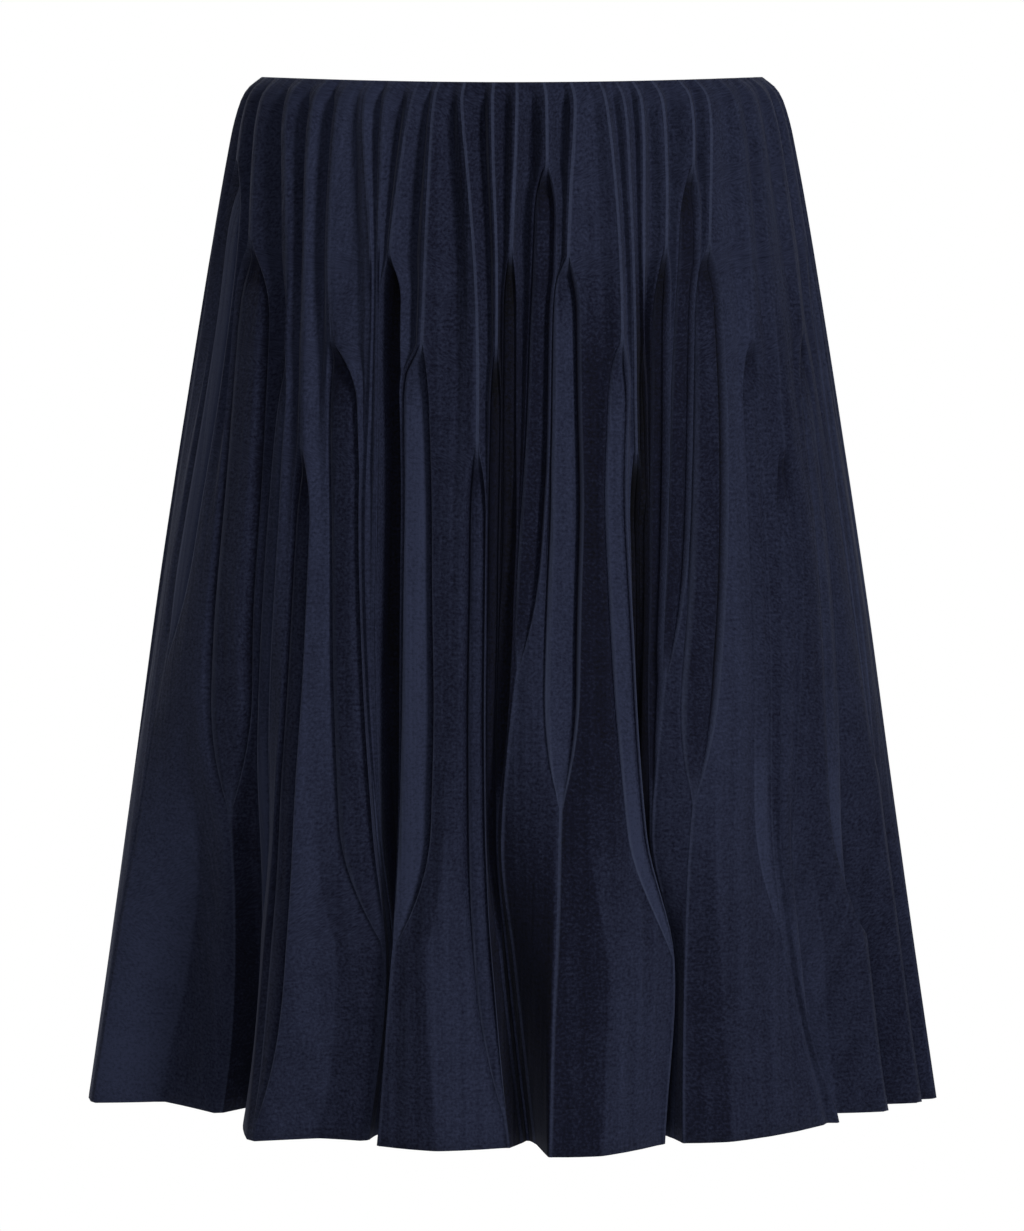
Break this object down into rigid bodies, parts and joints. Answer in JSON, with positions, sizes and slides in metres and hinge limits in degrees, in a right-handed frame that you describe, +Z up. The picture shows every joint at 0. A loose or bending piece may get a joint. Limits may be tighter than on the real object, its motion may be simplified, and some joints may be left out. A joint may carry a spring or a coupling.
{
  "type": "pleated skirt",
  "caption": "Hollow flared skirt, shown as worn: dense upright pleats part into long pointed openings and close again above a fluted hem; waist and hem are open.",
  "frame": {"origin": "middle of the waist edge, level with its top at the side seams", "axes": "+Z up the skirt, front towards -Y, +X to the right in the picture"},
  "size_m": [0.5064, 0.2944, 0.608],
  "materials": {
    "wool": "matte felted wool, navy melange"
  },
  "bodies": {
    "root": {"front": "wool", "back": "wool"}
  },
  "joints": []
}
